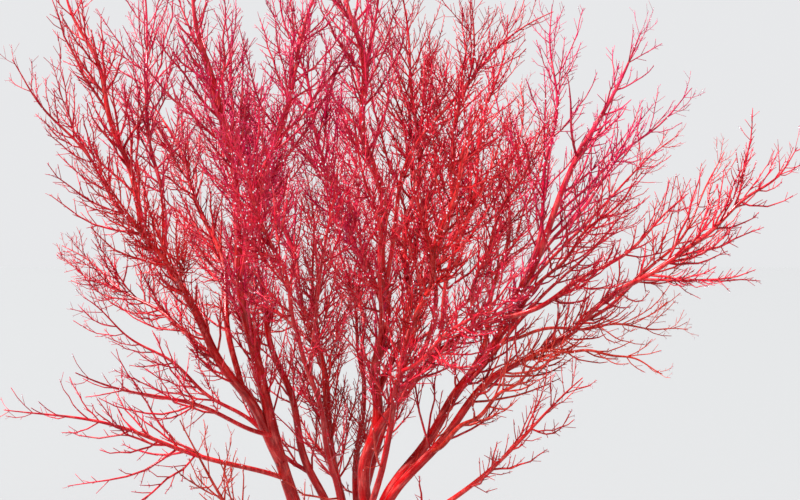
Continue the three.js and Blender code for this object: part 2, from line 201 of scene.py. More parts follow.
# A habit is how a limb bears the next finer ones, at nodes along it but for its bare share. A shoot is up to
# share times what is left of its parent, plus least; it leaves at an angle in radians and rises by lift times
# its own length. STEM_HABIT is the source's, for the nodes in the solids, and BETWEEN_HABIT for the others.
PLAIN_HABIT = dict(
    bare=0.0, turn_varies=1.6, lift=0.0, lift_varies=0.0, missing=0.06, poor=0.0, tip_radius=0.0024,
)
STEM_HABIT = dict(
    PLAIN_HABIT, spacing=NODE_SPACING, share=0.38, least=0.130, most=0.780, varies=0.30, angle=0.50,
    angle_varies=0.25, turn_varies=0.9, lift=0.20, radius=0.0080, to_parent=0.50,
)
BETWEEN_HABIT = dict(
    PLAIN_HABIT, spacing=NODE_SPACING, share=0.60, least=0.140, most=0.950, varies=0.65, angle=0.30,
    angle_varies=0.62, lift_varies=0.42, poor=0.12, radius=0.0088, to_parent=0.55,
)
BOUGH_HABIT = dict(
    PLAIN_HABIT, spacing=0.040, bare=0.32, share=0.30, least=0.240, most=0.900, varies=0.55, angle=0.36,
    angle_varies=0.60, lift=0.12, lift_varies=0.35, radius=0.0076, to_parent=0.34,
)
SHOOT_HABIT = dict(
    PLAIN_HABIT, spacing=0.034, bare=0.04, share=0.30, least=0.050, most=0.240, varies=0.80, angle=0.40,
    angle_varies=0.62, lift=0.02, lift_varies=0.36, missing=0.12, radius=0.0040, to_parent=0.66,
    tip_radius=0.0021,
)
SPUR_HABIT = dict(
    PLAIN_HABIT, spacing=0.042, bare=0.10, share=0.16, least=0.024, most=0.080, varies=0.55, angle=0.55,
    angle_varies=0.45, lift=0.05, lift_varies=0.3, missing=0.45, radius=0.0032, to_parent=0.95,
    tip_radius=0.0018,
)
BUD_HABIT = dict(
    PLAIN_HABIT, spacing=0.050, bare=0.10, share=0.0, least=0.0085, most=0.0085, varies=0.35, angle=0.60,
    angle_varies=0.3, turn_varies=0.5, missing=0.75, radius=0.0016, to_parent=1.0, tip_radius=0.0016,
)


# The rule

# Metres between the points that stand for a limb, the shares of it tried for where it stands clear, and how
# many places are measured at a time
LIMB_STEP = 0.014
BESIDE_STEP = 0.008
START_STEPS = 400
BLOCK = 3000
PARTS = ("foot", "bend", "tip", "foot_radius", "tip_radius", "seed", "owner", "collar")
Samples = namedtuple("Samples", "places radii starts")


def draw(seed, turn):
    """Numbers from 0 to 1 that depend only on the seeds and on which draw it is, as in the source."""
    low = np.uint64(0xFFFFFFFF)
    seed = np.asarray(seed, dtype=np.uint64)
    step = ((np.asarray(turn, dtype=np.uint64) + np.uint64(1)) * np.uint64(0x9E3779B1)) & low
    mixed = ((seed ^ step) * np.uint64(0x85EBCA6B)) & low
    mixed = ((mixed ^ (mixed >> np.uint64(13))) * np.uint64(0xC2B2AE35)) & low
    return (mixed ^ (mixed >> np.uint64(16))).astype(float) / 2**32


def size_of(rows):
    return np.linalg.norm(rows, axis=-1)


def unit(rows):
    return rows / np.maximum(size_of(rows), 1e-12)[..., None]


class Limbs:
    """Many limbs or twigs at once, each a parabola through its foot, bend and tip that tapers on the way.

    owner is the number of the spray that each belongs to, or -1. In the methods, which is the number of one
    limb or an array of them, and share is an array of ways along them."""

    def __init__(self, foot, bend, tip, foot_radius, tip_radius, seed, owner, collar=0.0):
        self.foot, self.bend, self.tip = (np.asarray(end, float) for end in (foot, bend, tip))
        self.count = len(self.foot)
        self.foot_radius, self.tip_radius = np.asarray(foot_radius, float), np.asarray(tip_radius, float)
        self.seed, self.owner = np.asarray(seed), np.asarray(owner)
        self.collar = np.broadcast_to(np.asarray(collar, float), self.count)
        to_bend, to_tip = size_of(self.bend - self.foot), size_of(self.tip - self.bend)
        self.size = to_bend + to_tip
        self.bend_share = to_bend / self.size
        across = np.cross(self.bend - self.foot, self.tip - self.bend)
        straight = size_of(across) < 1e-6
        across[straight] = np.cross(self.tip - self.foot, UP)[straight]
        self.across = unit(across)

    def only(self, which):
        return Limbs(*(getattr(self, part)[which] for part in PARTS))

    def cut_back(self, share):
        """The same limbs with only this share of their length, on the same heading."""
        bend, tip = (self.foot + (end - self.foot) * share for end in (self.bend, self.tip))
        return Limbs(self.foot, bend, tip, *(getattr(self, part) for part in PARTS[3:]))

    def _sway(self, which, share):
        """A slight sway to the sides, none at the foot and the tip. The trunk has none."""
        seed, size = self.seed[which], self.size[which] * SWAY * (self.seed[which] > 0)
        sides = (self.across[which], np.cross(self.across[which], self.headings(which, share)))
        off = 0.0
        for turn, side in zip(SWAY_DRAWS, sides):
            waves, phase = 1.0 + 2.2 * draw(seed, turn), 6.3 * draw(seed, turn + 1)
            ends = (1 - share) * np.sin(phase) + share * np.sin(2 * math.pi * waves + phase)
            off = off + side * (size * (np.sin(2 * math.pi * waves * share + phase) - ends))[..., None]
        return off

    def _blend(self, which, at_foot, at_bend, at_tip):
        ends = (self.foot[which], self.bend[which], self.tip[which])
        return sum(end * part[..., None] for end, part in zip(ends, (at_foot, at_bend, at_tip)))

    def places(self, which, share):
        """The point of each of these limbs at its share of the length."""
        k = self.bend_share[which]
        at_bend = share * (share - 1) / (k * (k - 1))
        smooth = self._blend(which, (share - k) * (share - 1) / k, at_bend, share * (share - k) / (1 - k))
        return smooth + self._sway(which, share)

    def headings(self, which, share):
        """The direction of each of these limbs there."""
        k = self.bend_share[which]
        at_bend = (2 * share - 1) / (k * (k - 1))
        return unit(self._blend(which, (2 * share - 1 - k) / k, at_bend, (2 * share - k) / (1 - k)))

    def radii(self, which, share):
        reach = COLLAR_REACH * self.foot_radius[which]
        spread = self.collar[which] * np.exp(-share * self.size[which] / reach)
        full = np.where(self.owner[which] < 0, 1.0, FULLNESS)
        taper = self.foot_radius[which] + (self.tip_radius[which] - self.foot_radius[which]) * share**full
        return taper * (1 + spread)


def joined(batches):
    batches = [batch for batch in batches if batch.count]
    return Limbs(*(np.concatenate([getattr(batch, part) for batch in batches]) for part in PARTS))


def single(foot, bend, tip, foot_radius, tip_radius, seed, collar):
    """One limb, from values in millimetres."""
    ends = ([np.array(end) * MM] for end in (foot, bend, tip))
    return Limbs(*ends, [foot_radius * MM], [tip_radius * MM], [seed], [-1], [collar])


def plant_limbs():
    """The trunk, the boughs and the sprays' stems, one Limbs of all, with their names and parents."""
    made, names, parents = [single(*TRUNK, 0, 0.0)], ["trunk"], [None]
    table = [(*row, 1.0) for row in BOUGHS]
    table += [(*row[:6], STEM_TIP_RADIUS / MM, row[6]) for row in SPRAYS]
    for name, parent, share, bend, tip, foot_radius, tip_radius, _ in table:
        foot = made[names.index(parent)].places(0, np.array([float(share)]))[0] / MM
        collar = 0.0 if share == 1 and parent != "trunk" else COLLAR
        made.append(single(foot, bend, tip, foot_radius, tip_radius, len(made), collar))
        names.append(name)
        parents.append(parent)
    limbs = joined(made)
    limbs.names, limbs.parents = names, parents
    limbs.bare = np.array([1.0] + [row[-1] for row in table])
    return limbs


def sampled(limbs, which, step):
    """Points every step along the limbs numbered in which, their radii, and where each limb's start."""
    places, radii, starts = [], [], []
    for number in which:
        share = np.linspace(0, 1, math.ceil(limbs.size[number] / step) + 1)
        starts.append(sum(len(part) for part in places))
        places.append(limbs.places(number, share))
        radii.append(limbs.radii(number, share))
    return Samples(np.concatenate(places), np.concatenate(radii), np.array(starts))


def clear_share(limbs, number):
    """The share of a limb from which it stands clear of its parent and of every limb beside it."""
    parent = limbs.parents[number]
    near = [i for i, name in enumerate(limbs.names) if name == parent]
    near += [i for i, other in enumerate(limbs.parents) if other == parent and i != number]
    others = sampled(limbs, near, BESIDE_STEP)
    share = np.linspace(1, 0, START_STEPS)
    far = size_of(limbs.places(number, share)[:, None] - others.places[None])
    free = (far > others.radii + limbs.radii(number, share)[:, None] + START_CLEARANCE).all(axis=1)
    return share[free.argmin() - 1]


def branch(parents, habit, bare=None, draws=SHOOT_DRAWS, bears=None, thinned=None):
    """The shoots that the parents bear in pairs, each node a quarter turn from the last.

    bears picks the nodes, and thinned tells the share of shoots that are missing besides, from the number of
    the parent and the shoot's foot."""
    bare = np.full(parents.count, habit["bare"]) if bare is None else bare
    nodes = np.floor(parents.size * (1 - bare) / habit["spacing"]).astype(int)
    which = np.repeat(np.arange(parents.count), np.maximum(nodes - 1, 0))
    node = np.concatenate([np.arange(1, max(n, 1)) for n in nodes]) if len(which) else np.zeros(0, int)
    if bears:
        which, node = which[bears(node)], node[bears(node)]
    which, node = np.repeat(which, 2), np.repeat(node, 2)
    side = np.tile([0, 1], len(which) // 2)
    share = bare[which] + (1 - bare[which]) * (node + 0.5) / nodes[which]
    seed = np.floor(draw(parents.seed[which], draws + 2 * node + side) * 2**31).astype(np.int64)
    poor = draw(parents.seed[which], POOR_DRAWS + node // POOR_RUN) < habit["poor"]
    missing = np.where(poor, POOR_MISSING, habit["missing"])
    if thinned:
        missing = missing + (1 - missing) * thinned(which, parents.places(which, share))
    there = draw(seed, 0) > missing
    which, node, side, share, seed = (part[there] for part in (which, node, side, share, seed))
    left = habit["least"] + habit["share"] * parents.size[which] * (1 - share)
    length = (np.minimum(habit["most"], left) * (1 - habit["varies"] * draw(seed, 1)))[:, None]
    turn = node * math.pi / 2 + side * math.pi + habit["turn_varies"] * (draw(seed, 2) - 0.5)
    angle = (habit["angle"] + habit["angle_varies"] * draw(seed, 3))[:, None]
    lift = (habit["lift"] + habit["lift_varies"] * draw(seed, 4))[:, None]
    along, across = parents.headings(which, share), parents.across[which]
    outward = across * np.cos(turn)[:, None] + np.cross(along, across) * np.sin(turn)[:, None]
    heading = along * np.cos(angle) + outward * np.sin(angle)
    foot = parents.places(which, share)
    tip = foot + heading * length + UP * lift * length
    bend = foot + heading * 0.5 * length
    radius = np.minimum(habit["radius"], habit["to_parent"] * parents.radii(which, share))
    tip_radius = np.minimum(habit["tip_radius"], 0.8 * radius)
    return Limbs(foot, bend, tip, radius, tip_radius, seed, parents.owner[which])


def nearest(places, others, less=0.0):
    """The distance from each place to the nearest of every limb's samples, less the radius there if given."""
    found = []
    for part in np.array_split(places, len(places) // BLOCK + 1):
        squares = (part**2).sum(axis=1)[:, None] + (others.places**2).sum(axis=1)[None]
        squares = squares - 2 * part @ others.places.T
        far = np.sqrt(np.maximum(squares, 0))
        found.append(np.minimum.reduceat(far - less, others.starts, axis=1))
    return np.concatenate(found)


def fitting(shoots, stems, boughs, samples, on_boughs=False):
    """The shoots that stay in their own spray's space and touch no bough, tested at a few points of each.

    Those that stand on boughs have no spray yet: their owner is their bough, which they may touch."""
    share = np.linspace(0, 1, samples)
    feet, tips = shoots.foot[:, None], shoots.tip[:, None]
    places = (feet * (1 - share)[:, None] + tips * share[:, None]).reshape(-1, 3)
    radii = (shoots.foot_radius[:, None] + (shoots.tip_radius - shoots.foot_radius)[:, None] * share).ravel()
    owner = np.repeat(shoots.owner, samples)
    rows = np.arange(len(places))
    to_boughs = nearest(places, boughs, boughs.radii)
    if on_boughs:
        to_boughs[rows, owner] = np.inf
    good = to_boughs.min(axis=1) >= radii + TWIG_CLEARANCE
    if not on_boughs:
        to_stems = nearest(places, stems)
        own = to_stems[rows, owner].copy()
        to_stems[rows, owner] = np.inf
        good &= to_stems.min(axis=1) >= own + 2 * (radii + TWIG_CLEARANCE)
    return good.reshape(-1, samples).all(axis=1)


def cut_to_fit(shoots, stems, boughs, samples, on_boughs=False):
    """Shoots that fit at full length, and the others cut back to the longest share of it that fits."""
    fit = []
    for share in (1, *CUTS):
        tried = shoots.cut_back(share)
        good = fitting(tried, stems, boughs, samples, on_boughs)
        fit.append(tried.only(good))
        shoots = shoots.only(~good)
    return joined(fit)


# Twigs as joined meshes

FINEST = 0.0014
THICKEST = 0.100


class Pile:
    """Vertices and faces that are joined into one mesh, each vertex with its age."""

    def __init__(self):
        self.places, self.ages, self.faces, self.sizes, self.count = [], [], [], [], 0

    def add(self, places, ages, *kinds):
        """Adds many alike shapes. places has a block of vertices for each, and each of kinds is an array of
        one shape's faces, as rows of corner numbers."""
        firsts = self.count + np.arange(len(places))[:, None, None] * places.shape[1]
        for faces in kinds:
            self.faces.append((faces + firsts).ravel())
            self.sizes.append(np.full(len(places) * len(faces), faces.shape[1]))
        self.places.append(places.reshape(-1, 3))
        self.ages.append(ages.ravel())
        self.count += ages.size

    def mesh(self, name):
        places = np.concatenate(self.places)
        corners, sizes = np.concatenate(self.faces), np.concatenate(self.sizes)
        mesh = bpy.data.meshes.new(name)
        mesh.vertices.add(len(places))
        mesh.vertices.foreach_set("co", places.ravel())
        mesh.loops.add(len(corners))
        mesh.loops.foreach_set("vertex_index", corners.astype(np.int32))
        mesh.polygons.add(len(sizes))
        starts = np.concatenate([[0], np.cumsum(sizes)[:-1]])
        mesh.polygons.foreach_set("loop_start", starts.astype(np.int32))
        mesh.polygons.foreach_set("loop_total", sizes.astype(np.int32))
        mesh.update(calc_edges=True)
        mesh.validate()
        age = mesh.attributes.new("age", "FLOAT", "POINT")
        age.data.foreach_set("value", np.concatenate(self.ages))
        mesh.shade_smooth()
        return mesh


def age_of(radii):
    """0 at the finest twigs, and 1 at the trunk."""
    return np.clip(np.log(np.maximum(radii, 1e-5) / FINEST) / math.log(THICKEST / FINEST), 0, 1)


def heap_tubes(pile, limbs, sides, rings):
    """Adds a tapered tube for each limb, with a pointed tip and a closed foot."""
    count = limbs.count
    if not count:
        return
    share = np.tile(np.linspace(0, 1, rings), count)
    which = np.repeat(np.arange(count), rings)
    centre, along = limbs.places(which, share), limbs.headings(which, share)
    across = limbs.across[which]
    upward = np.cross(across, along)
    radii = limbs.radii(which, share)
    angle = np.arange(sides) * 2 * math.pi / sides
    out = across[:, None] * np.cos(angle)[None, :, None] + upward[:, None] * np.sin(angle)[None, :, None]
    walls = (centre[:, None] + out * radii[:, None, None]).reshape(count, rings * sides, 3)
    last = np.arange(count) * rings + rings - 1
    points = centre[last] + along[last] * radii[last, None] * 1.6
    ages = np.repeat(age_of(radii).reshape(count, rings), sides, axis=1)
    corners = np.arange(rings * sides).reshape(rings, sides)
    after = np.roll(corners, -1, axis=1)
    quads = np.stack([corners[:-1], after[:-1], after[1:], corners[1:]], axis=-1).reshape(-1, 4)
    cone = np.stack([corners[-1], after[-1], np.full(sides, rings * sides)], axis=-1)
    pile.add(np.concatenate([walls, points[:, None]], axis=1), np.concatenate([ages, ages[:, -1:]], axis=1),
             quads, cone, corners[:1, ::-1])


def heap_copies(pile, template, places, along, lengths, widths):
    """Adds a copy of a small template, as points and faces, at each place."""
    points, faces = template
    along = unit(along)
    aside = np.where(np.abs(along[:, 2:]) > 0.9, np.array([1.0, 0, 0]), UP)
    across = unit(np.cross(aside, along))
    upward = np.cross(along, across)
    made = places[:, None]
    for axis, (side, size) in enumerate(((across, widths), (upward, widths), (along, lengths))):
        made = made + side[:, None] * points[None, :, axis, None] * size[:, None, None]
    pile.add(made, np.zeros(made.shape[:2]), faces)


# Trunk and boughs

# How far out the rings of a limb's rounded end are, as shares of the dome
DOME_RISES = (0.4, 0.7, 0.9, 0.985)

# The bark's relief: waves a metre across and along the grain, and depth as a share of the limb's radius
FLUTES = (24, 2.4, 0.075)
LUMPS = (45, 14, 0.035)
RELIEF_STEP = 7.3

# The trunk's rings start UNDER_GROUND of its length down, where FOOT_DROP is the metres for a whole length
UNDER_GROUND = 0.08
FOOT_DROP = 0.5
TRUNK_RINGS = 30
TRUNK_SIDES, THICK_SIDES, THIN_SIDES = 64, 20, 16
RING_SPACING, SKIN_SPACING = 0.016, 0.020

# Past where it stands clear, the trunk's skin carries a limb on by SKIN_REACH and thins it by SKIN_THINNED
# within FADE. The bough's own mesh starts inside that, at FOOT_SHARE of its radius. The relief calms down
# where a second limb is less than CALM radii farther off than the nearest.
SKIN_REACH = 0.10
SKIN_THINNED = 0.12
FADE = 0.08
FOOT_SHARE = 0.93
CALM = 0.5
GRAIN_REACH = 0.14
GRAIN_SAMPLES = 60
VOXEL = 0.0065
SMOOTHINGS = 4


def placed(name, data):
    """A new object of the scene, at the origin."""
    made = bpy.data.objects.new(name, data)
    bpy.context.scene.collection.objects.link(made)
    return made


def template_of(create, shape, **sizes):
    """The vertices and faces of a small bmesh shape, 1 long along Z from the origin."""
    bm = bmesh.new()
    create(bm, **sizes)
    for vert in bm.verts:
        vert.co = shape(vert.co)
    bmesh.ops.recalc_face_normals(bm, faces=bm.faces)
    places = np.array([vert.co[:] for vert in bm.verts])
    bmesh.ops.triangulate(bm, faces=bm.faces)
    faces = np.array([[vert.index for vert in face.verts] for face in bm.faces])
    bm.free()
    return places, faces


def ring_frames(limbs, number, start, stop, spacing, shape, dome=0.9):
    """Rings along a limb between two shares, rounded off at its end: (matrix, radius, way along)."""
    share = np.linspace(start, stop, math.ceil((stop - start) * limbs.size[number] / spacing) + 1)
    centre, along = limbs.places(number, share), limbs.headings(number, share)
    radius = limbs.radii(number, share) * shape(share)
    way = share * limbs.size[number]
    rows = list(zip(centre, along, radius, way))
    for rise in DOME_RISES:
        out = rise * dome * radius[-1]
        wide = radius[-1] * math.sqrt(1 - rise**2)
        rows.append((centre[-1] + along[-1] * out, along[-1], wide, way[-1] + out))
    across = limbs.across[number]
    frames = []
    for middle, heading, wide, distance in rows:
        upward = np.cross(heading, across)
        columns = np.column_stack([across * wide, upward * wide, heading * wide, middle])
        frames.append((Matrix([*columns.tolist(), [0, 0, 0, 1]]), wide, distance))
    return frames


def grain_layers(bm):
    """New layers for each vertex's place in the grain and for the limb's radius there."""
    return bm.verts.layers.float_vector.new("grain"), bm.verts.layers.float.new("thick")


def extruded(bm, grain, thick, frames, sides):
    """A closed tube: a circle is extruded from ring to ring. Each vertex keeps its place in the grain."""

    def mark(verts, frame, wide, distance):
        back = frame.inverted()
        for vert in verts:
            flat = back @ vert.co
            vert[grain] = (flat.x * wide, flat.y * wide, distance)
            vert[thick] = wide

    frame, wide, distance = frames[0]
    verts = bmesh.ops.create_circle(bm, cap_ends=True, segments=sides, radius=1, matrix=frame)["verts"]
    edges = list({edge for vert in verts for edge in vert.link_edges})
    mark(verts, frame, wide, distance)
    for next_frame, wide, distance in frames[1:]:
        made = bmesh.ops.extrude_edge_only(bm, edges=edges)["geom"]
        verts = [part for part in made if isinstance(part, bmesh.types.BMVert)]
        fresh = set(verts)
        edges = [part for part in made
                 if isinstance(part, bmesh.types.BMEdge) and fresh.issuperset(part.verts)]
        bmesh.ops.transform(bm, matrix=next_frame @ frame.inverted(), verts=verts)
        mark(verts, next_frame, wide, distance)
        frame = next_frame
    bmesh.ops.edgeloop_fill(bm, edges=edges)


def relief(spot, wide, number):
    """How far the bark of a limb stands out at a spot of the grain: long flutes and low lumps."""
    x, y, z = spot
    offset = RELIEF_STEP * number
    flutes = noise.noise(Vector((x * FLUTES[0] + offset, y * FLUTES[0], z * FLUTES[1])))
    lumps = noise.noise(Vector((x * LUMPS[0], y * LUMPS[0] + offset, z * LUMPS[1])))
    return wide * (FLUTES[2] * flutes + LUMPS[2] * lumps)


def bough_mesh(limbs, number, start, sides):
    """A bough's tube. At the trunk it starts a little thinner, inside the trunk's skin."""
    bm = bmesh.new()
    grain, thick = grain_layers(bm)
    reach = FADE / limbs.size[number]

    def shape(share):
        rise = np.clip((share - start) / reach, 0, 1) if start else 1.0
        return FOOT_SHARE + (1 - FOOT_SHARE) * rise

    extruded(bm, grain, thick, ring_frames(limbs, number, start, 1, RING_SPACING, shape), sides)
    bmesh.ops.recalc_face_normals(bm, faces=bm.faces)
    bm.normal_update()
    moved = [vert.normal * relief(vert[grain], vert[thick], number) for vert in bm.verts]
    for vert, move in zip(bm.verts, moved):
        vert.co += move
    return limb_mesh(bm, limbs.names[number] + "_bark")


def limb_mesh(bm, name):
    """Turns a bmesh with grain and thickness into a mesh with grain and age."""
    mesh = bpy.data.meshes.new(name)
    bm.to_mesh(mesh)
    bm.free()
    wide = np.zeros(len(mesh.vertices))
    mesh.attributes["thick"].data.foreach_get("value", wide)
    mesh.attributes.new("age", "FLOAT", "POINT").data.foreach_set("value", age_of(wide))
    mesh.attributes.remove(mesh.attributes["thick"])
    mesh.shade_smooth()
    return mesh


def trunk_frames(limbs):
    """Level rings up the trunk, from just under the ground."""
    frames = []
    for rise in np.linspace(-UNDER_GROUND, 1, TRUNK_RINGS):
        share = max(rise, 0.0)
        middle = limbs.places(0, np.array([share]))[0]
        flare = math.exp(-middle[2] / ROOT_FLARE_HEIGHT)
        radius = (TRUNK[3] + (TRUNK[4] - TRUNK[3]) * share**3) * MM
        wide = radius * (1 + ROOT_FLARE * flare)
        middle[2] += min(rise, 0) * FOOT_DROP
        frames.append((Matrix.Translation(middle) @ Matrix.Scale(wide, 4), wide, middle[2]))
    return frames


def trunk_mesh(limbs, starts):
    """The trunk and the first stretch of all that leaves it, as one skin."""
    bm = bmesh.new()
    grain, thick = grain_layers(bm)
    extruded(bm, grain, thick, trunk_frames(limbs), TRUNK_SIDES)
    for vert in bm.verts:
        height = max(vert.co.z, 0)
        middle = limbs.places(0, np.array([height / (TRUNK[2][2] * MM)]))[0]
        out = Vector((vert.co.x - middle[0], vert.co.y - middle[1], 0))
        ridge = math.cos(ROOT_RIDGES * math.atan2(out.y, out.x))
        flare = math.exp(-height / ROOT_FLARE_HEIGHT)
        vert.co += out * (ROOT_RIDGE_DEPTH * ridge * (TRUNK_RIDGE_SHARE + flare))
    for number in starts:
        stop = starts[number] + SKIN_REACH / limbs.size[number]
        fade = FADE / limbs.size[number]

        def shape(share):
            return 1 - SKIN_THINNED * np.clip((share - stop + fade) / fade, 0, 1)

        frames = ring_frames(limbs, number, 0, stop, SKIN_SPACING, shape, dome=0.5)
        extruded(bm, grain, thick, frames, THICK_SIDES)
    bmesh.ops.recalc_face_normals(bm, faces=bm.faces)
    rough = bpy.data.meshes.new("trunk_rough")
    bm.to_mesh(rough)
    bm.free()
    maker = placed("trunk_maker", rough)
    skin = maker.modifiers.new("skin", "REMESH")
    skin.mode, skin.voxel_size = "VOXEL", VOXEL
    skinned = bpy.data.meshes.new_from_object(maker.evaluated_get(bpy.context.evaluated_depsgraph_get()))
    bpy.data.objects.remove(maker)

    bm = bmesh.new()
    bm.from_mesh(skinned)
    bpy.data.meshes.remove(skinned)
    for _ in range(SMOOTHINGS):
        bmesh.ops.smooth_vert(bm, verts=bm.verts, factor=0.5, use_axis_x=True, use_axis_y=True,
                              use_axis_z=True)
    grow_grain(bm, *grain_layers(bm), limbs, starts)
    cut = bmesh.ops.bisect_plane(bm, geom=[*bm.verts, *bm.edges, *bm.faces], plane_co=(0, 0, 0),
                                 plane_no=(0, 0, 1), clear_inner=True)["geom_cut"]
    bmesh.ops.edgeloop_fill(bm, edges=[part for part in cut if isinstance(part, bmesh.types.BMEdge)])
    return limb_mesh(bm, "trunk_bark")


def grow_grain(bm, grain, thick, limbs, starts):
    """Gives each vertex its place in the grain of the limb that it lies on, and raises the bark's relief."""
    places = np.array([vert.co[:] for vert in bm.verts])
    number_of = np.repeat([0, *starts], GRAIN_SAMPLES)
    stops = [1.0] + [starts[number] + GRAIN_REACH / limbs.size[number] for number in starts]
    share_of = np.linspace(0, stops, GRAIN_SAMPLES).T.ravel()
    samples = limbs.places(number_of, share_of)
    radii = np.where(number_of == 0, TRUNK[3] * MM, limbs.radii(number_of, share_of))
    starts_of = np.arange(len(stops)) * GRAIN_SAMPLES
    least, found = [], []
    for part in np.array_split(places, len(places) // BLOCK + 1):
        far = size_of(part[:, None] - samples[None]) / radii
        least.append(np.sort(np.minimum.reduceat(far, starts_of, axis=1), axis=1)[:, :2])
        found.append(far.argmin(axis=1))
    (best, second), found = np.concatenate(least).T, np.concatenate(found)
    number, share, wide = number_of[found], share_of[found], radii[found]
    across, along = limbs.across[number], limbs.headings(number, share)
    off = places - samples[found]
    spots = np.column_stack([(off * across).sum(axis=1), (off * np.cross(along, across)).sum(axis=1),
                             share * limbs.size[number] + (off * along).sum(axis=1)])
    calm = np.clip((second - best) / CALM, 0, 1)
    bm.normal_update()
    normals = [vert.normal.copy() for vert in bm.verts]
    moves = [normal * relief(spot, size, which) * quiet
             for normal, spot, size, which, quiet in zip(normals, spots, wide, number, calm)]
    for vert, spot, size, move in zip(bm.verts, spots, wide, moves):
        vert[grain] = spot
        vert[thick] = size
        vert.co += move


# Materials

OLD = (150, 26, 24)
# The pale colour of the bark's lenticel specks, and of painted highlights laid over the bark in lighter
# patches
SPECK_AND_PAINTED_HIGHLIGHT = (250, 112, 104)
THICK_BARK = ((224, 16, 38), (218, 16, 28), (206, 16, 20))
THIN_BARK = ((228, 18, 44), (222, 18, 34), (212, 18, 26))


def shade(red, green, blue):
    """A colour from 0 to 255 as the screen shows it, for a shader."""
    linear = [((part / 255 + 0.055) / 1.055) ** 2.4 if part > 10 else part / 3294.6
              for part in (red, green, blue)]
    return (*linear, 1)


def set_socket(tree, socket, value):
    if isinstance(value, bpy.types.NodeSocket):
        tree.links.new(value, socket)
    else:
        socket.default_value = value


def node(tree, kind, inputs=None, **settings):
    """A shader node with its settings and the plain values or links of its inputs."""
    made = tree.nodes.new("ShaderNode" + kind)
    for name, value in settings.items():
        setattr(made, name, value)
    for name, value in (inputs or {}).items():
        set_socket(tree, made.inputs[name], value)
    return made


def ramp(tree, factor, *stops):
    """A colour ramp of two (position, value) stops in grey."""
    made = node(tree, "ValToRGB", {"Fac": factor})
    points = made.color_ramp.elements
    for point, (position, value) in zip(points, stops):
        point.position, point.color = position, (value, value, value, 1)
    return made.outputs["Color"]


def mix(tree, factor, first, second):
    made = node(tree, "Mix", data_type="RGBA")
    for number, value in ((0, factor), (6, first), (7, second)):
        set_socket(tree, made.inputs[number], value)
    return made.outputs[2]


def math_of(tree, operation, first, second):
    return node(tree, "Math", {0: first, 1: second}, operation=operation).outputs[0]


def pattern(tree, kind, place, sizes, output, **values):
    """A texture whose coordinates are stretched by sizes."""
    spot = node(tree, "Mapping", {"Vector": place, "Scale": sizes}).outputs["Vector"]
    inputs = {name.replace("_", " "): value for name, value in values.items()}
    return node(tree, kind, {"Vector": spot, **inputs}).outputs[output]


def surface_of(name):
    """A new material, its node tree and its surface."""
    material = bpy.data.materials.new(name)
    material.use_nodes = True
    return material, material.node_tree, material.node_tree.nodes["Principled BSDF"]


def wet_bark_group():
    """Bark that turns from twig to old wood with age, with grain streaks, rings, specks and painted
    highlights.
    """
    tree = bpy.data.node_groups.new("wet_bark", "ShaderNodeTree")
    sockets = [(name, "INPUT", "Color") for name in ("Twig", "Shoot", "Wood", "Old", "Light")]
    sockets += [("Age", "INPUT", "Float"), ("Place", "INPUT", "Vector"), ("Color", "OUTPUT", "Color"),
                ("Roughness", "OUTPUT", "Float"), ("Wet", "OUTPUT", "Float"), ("Normal", "OUTPUT", "Vector")]
    for name, way, kind in sockets:
        tree.interface.new_socket(name, in_out=way, socket_type="NodeSocket" + kind)
    given = tree.nodes.new("NodeGroupInput").outputs
    place, age = given["Place"], given["Age"]
    mottle = node(tree, "TexNoise", {"Vector": place, "Scale": 5.0, "Detail": 3.0}).outputs["Fac"]
    patches = pattern(tree, "TexNoise", place, (1, 1, 0.25), "Fac", Scale=38.0, Detail=3.0)
    streaks = pattern(tree, "TexNoise", place, (1, 1, 0.07), "Fac", Scale=230.0, Detail=3.0)
    specks = pattern(tree, "TexVoronoi", place, (1, 1, 0.5), "Distance", Scale=120.0, Randomness=1.0)
    lines = node(tree, "Mapping", {"Vector": place, "Scale": (0.2, 0.2, 1)}).outputs["Vector"]
    rings = node(tree, "TexWave", {"Vector": lines, "Scale": 3.4, "Distortion": 3.5, "Detail": 2.0,
                                   "Detail Scale": 1.2}, bands_direction="Z").outputs["Fac"]
    wood = mix(tree, ramp(tree, age, (0.02, 0), (0.36, 1)), given["Twig"], given["Shoot"])
    wood = mix(tree, ramp(tree, age, (0.38, 0), (0.72, 1)), wood, given["Wood"])
    wood = mix(tree, ramp(tree, age, (0.82, 0), (1.0, 1)), wood, given["Old"])
    deep = node(tree, "HueSaturation", {"Color": wood, "Value": 0.58, "Saturation": 1.08}).outputs["Color"]
    wood = mix(tree, ramp(tree, mottle, (0.40, 0), (0.62, 1)), deep, wood)
    # Pale patches of painted highlight
    wood = mix(tree, ramp(tree, patches, (0.50, 0), (0.68, 0.50)), wood, given["Light"])
    dark = node(tree, "HueSaturation", {"Color": wood, "Value": 0.55}).outputs["Color"]
    wood = mix(tree, ramp(tree, streaks, (0.36, 0.85), (0.5, 0)), wood, dark)
    ring_lines = ramp(tree, rings, (0.975, 0), (0.995, 0.35))
    wood = mix(tree, ring_lines, wood, dark)
    on_wood = ramp(tree, age, (0.45, 0), (0.6, 0.4))
    speck_mask = math_of(tree, "MULTIPLY", ramp(tree, specks, (0.12, 1), (0.2, 0)), on_wood)
    wood = mix(tree, speck_mask, wood, given["Light"])
    height = math_of(tree, "ADD", streaks, patches)
    for raised in (ring_lines, speck_mask):
        height = math_of(tree, "ADD", height, raised)
    bump = node(tree, "Bump", {"Height": height, "Strength": 0.55, "Distance": 0.0016})
    out = tree.nodes.new("NodeGroupOutput").inputs
    tree.links.new(wood, out["Color"])
    tree.links.new(ramp(tree, patches, (0.35, 0.24), (0.65, 0.5)), out["Roughness"])
    tree.links.new(ramp(tree, age, (0.2, 0.12), (0.55, 0.42)), out["Wet"])
    tree.links.new(bump.outputs["Normal"], out["Normal"])
    return tree


